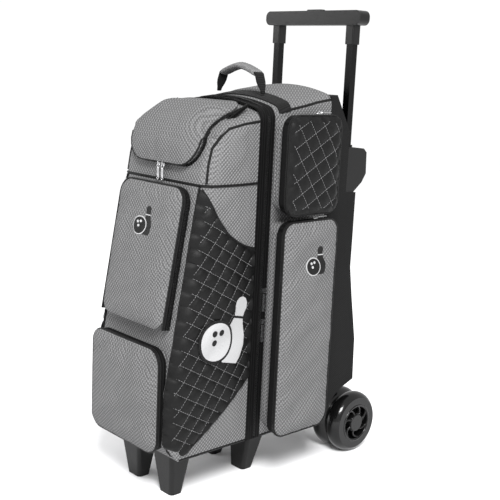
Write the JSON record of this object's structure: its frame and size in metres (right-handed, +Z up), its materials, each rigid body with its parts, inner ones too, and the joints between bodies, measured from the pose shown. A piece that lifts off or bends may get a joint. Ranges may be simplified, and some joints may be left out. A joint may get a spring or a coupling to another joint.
{
  "type": "bowling ball bag",
  "caption": "Upright roller bag for bowling balls and shoes: zipped front section and pockets, hooded shoe compartment, telescopic handle, wide wheels and feet.",
  "frame": {"origin": "on the floor, under the middle of the bag between its lower front pocket and the rear of its wheels", "axes": "+Z up; the bag faces -Y and its wheels and telescopic handle are at +Y; +X is the right-hand side as seen from behind"},
  "size_m": [0.349, 0.573, 0.905],
  "materials": {
    "grey_cloth": "woven polyester, light grey",
    "black_cloth": "woven polyester, charcoal black",
    "black_webbing": "ribbed polyester webbing",
    "zip_tape": "nylon coil zip tape",
    "grip_wrap": "padded grey cloth",
    "ball_foam": "closed-cell foam",
    "stiff_sheet": "polypropylene sheet",
    "tray_plastic": "moulded, lightly textured",
    "tube_black": "black anodised square tube, satin",
    "grip_plastic": "moulded, soft satin",
    "button_plastic": "moulded, semi-gloss",
    "urethane": "smooth glossy urethane",
    "core_plastic": "moulded nylon",
    "steel": "plain steel",
    "nickel": "nickel-plated zinc"
  },
  "bodies": {
    "chassis": {"rear_shell": "grey_cloth", "back_shell": "black_cloth", "back_board": "stiff_sheet", "lower_ball_cup": "ball_foam", "middle_ball_cup": "ball_foam", "upper_ball_cup": "ball_foam", "base_tray": "tray_plastic", "mid_foot_left": "tray_plastic", "mid_foot_right": "tray_plastic", "rear_zip_tape": "zip_tape", "carry_band": "black_webbing", "axle": "steel", "wheel_carrier": "tray_plastic", "outer_tube_left": "tube_black", "outer_tube_right": "tube_black", "upper_tube_bracket": "tray_plastic", "lower_tube_bracket": "tray_plastic", "upper_side_gusset_left": "grey_cloth", "upper_side_gusset_right": "grey_cloth", "lower_side_gusset_left": "grey_cloth", "lower_side_gusset_right": "grey_cloth", "main_zip_sliders": "nickel"},
    "wheel_left": {"tyre_left": "urethane", "wheel_core_left": "core_plastic", "wheel_bearings_left": "steel", "wheel_cap_left": "core_plastic"},
    "wheel_right": {"tyre_right": "urethane", "wheel_core_right": "core_plastic", "wheel_bearings_right": "steel", "wheel_cap_right": "core_plastic"},
    "handle": {"inner_tube_left": "tube_black", "inner_tube_right": "tube_black", "grip_front_shell": "grip_plastic", "grip_rear_shell": "grip_plastic", "grip_screws": "steel", "button_spring": "steel"},
    "release": {"release_button": "button_plastic", "release_yoke": "steel"},
    "lock_pin_left": {"lock_pin_left": "steel"},
    "lock_pin_right": {"lock_pin_right": "steel"},
    "front_section": {"front_shell": "grey_cloth", "divider_panel": "stiff_sheet", "front_tray": "tray_plastic", "front_foot_left": "tray_plastic", "front_foot_right": "tray_plastic", "front_zip_tape": "zip_tape", "upper_front_gusset": "grey_cloth", "lower_front_gusset": "grey_cloth"},
    "shoe_flap": {"shoe_flap": "grey_cloth"},
    "shoe_pulls": {"shoe_zip_pulls": "nickel"},
    "upper_front_flap": {"upper_front_panel": "grey_cloth"},
    "lower_front_flap": {"lower_front_panel": "grey_cloth"},
    "upper_side_flap_left": {"upper_side_panel_left": "black_cloth"},
    "upper_side_flap_right": {"upper_side_panel_right": "black_cloth"},
    "lower_side_flap_left": {"lower_side_panel_left": "grey_cloth"},
    "lower_side_flap_right": {"lower_side_panel_right": "grey_cloth"},
    "carry_handle": {"carry_strap": "black_webbing", "carry_grip": "grip_wrap"},
    "main_pull_upper": {"main_zip_pull_upper": "nickel"},
    "main_pull_lower": {"main_zip_pull_lower": "nickel"}
  },
  "joints": [
    {"name": "handle_slide", "type": "slide", "parent": "chassis", "child": "handle", "axis": [0, 0, 1], "range_m": [-0.15, 0.139]},
    {"name": "release_press", "type": "slide", "parent": "handle", "child": "release", "axis": [0, 0, -1], "range_m": [0, 0.004], "stiffness_N_per_m": 900, "springref_m": -0.004, "deforming": ["button_spring"]},
    {"name": "lock_pin_left_draw", "type": "slide", "parent": "handle", "child": "lock_pin_left", "axis": [1, 0, 0], "range_m": [0, 0.003]},
    {"name": "lock_pin_right_draw", "type": "slide", "parent": "handle", "child": "lock_pin_right", "axis": [-1, 0, 0], "range_m": [0, 0.003]},
    {"name": "wheel_left_spin", "type": "hinge", "parent": "chassis", "child": "wheel_left", "pos_m": [-0.0995, 0.223, 0.0635], "axis": [1, 0, 0], "continuous": true},
    {"name": "wheel_right_spin", "type": "hinge", "parent": "chassis", "child": "wheel_right", "pos_m": [0.0995, 0.223, 0.0635], "axis": [1, 0, 0], "continuous": true},
    {"name": "front_section_swing", "type": "hinge", "parent": "chassis", "child": "front_section", "pos_m": [-0.1225, -0.065, 0.095], "axis": [0, 0, -1], "range_deg": [0, 85]},
    {"name": "shoe_flap_lift", "type": "hinge", "parent": "front_section", "child": "shoe_flap", "pos_m": [0, -0.097, 0.733], "axis": [-1, 0, 0], "range_deg": [0, 95]},
    {"name": "shoe_pulls_swing", "type": "hinge", "parent": "shoe_flap", "child": "shoe_pulls", "pos_m": [0, -0.2128, 0.6175], "axis": [-1, 0, 0], "range_deg": [0, 80]},
    {"name": "upper_front_flap_drop", "type": "hinge", "parent": "front_section", "child": "upper_front_flap", "pos_m": [0, -0.26256, 0.33185], "axis": [1, 0, 0], "range_deg": [0, 60]},
    {"name": "lower_front_flap_drop", "type": "hinge", "parent": "front_section", "child": "lower_front_flap", "pos_m": [0, -0.2745, 0.106], "axis": [1, 0, 0], "range_deg": [0, 75]},
    {"name": "upper_side_flap_left_drop", "type": "hinge", "parent": "chassis", "child": "upper_side_flap_left", "pos_m": [-0.1685, 0.012, 0.528], "axis": [0, -1, 0], "range_deg": [0, 70]},
    {"name": "upper_side_flap_right_drop", "type": "hinge", "parent": "chassis", "child": "upper_side_flap_right", "pos_m": [0.1685, 0.012, 0.528], "axis": [0, 1, 0], "range_deg": [0, 70]},
    {"name": "lower_side_flap_left_swing", "type": "hinge", "parent": "chassis", "child": "lower_side_flap_left", "pos_m": [-0.1685, 0.081, 0.3135], "axis": [0, 0, -1], "range_deg": [0, 40]},
    {"name": "lower_side_flap_right_swing", "type": "hinge", "parent": "chassis", "child": "lower_side_flap_right", "pos_m": [0.1685, 0.081, 0.3135], "axis": [0, 0, 1], "range_deg": [0, 40]},
    {"name": "carry_handle_fold", "type": "hinge", "parent": "chassis", "child": "carry_handle", "pos_m": [0, -0.023, 0.73893], "axis": [-1, 0, 0], "range_deg": [-50, 50]},
    {"name": "main_pull_upper_swing", "type": "hinge", "parent": "chassis", "child": "main_pull_upper", "pos_m": [0.1245, -0.056, 0.3777], "axis": [0, -1, 0], "range_deg": [0, 110]},
    {"name": "main_pull_lower_swing", "type": "hinge", "parent": "chassis", "child": "main_pull_lower", "pos_m": [0.1245, -0.056, 0.3187], "axis": [0, -1, 0], "range_deg": [0, 110]}
  ],
  "couplings": [
    {"joint": "lock_pin_left_draw", "follows": "release_press", "ratio": 0.75},
    {"joint": "lock_pin_right_draw", "follows": "release_press", "ratio": 0.75}
  ]
}
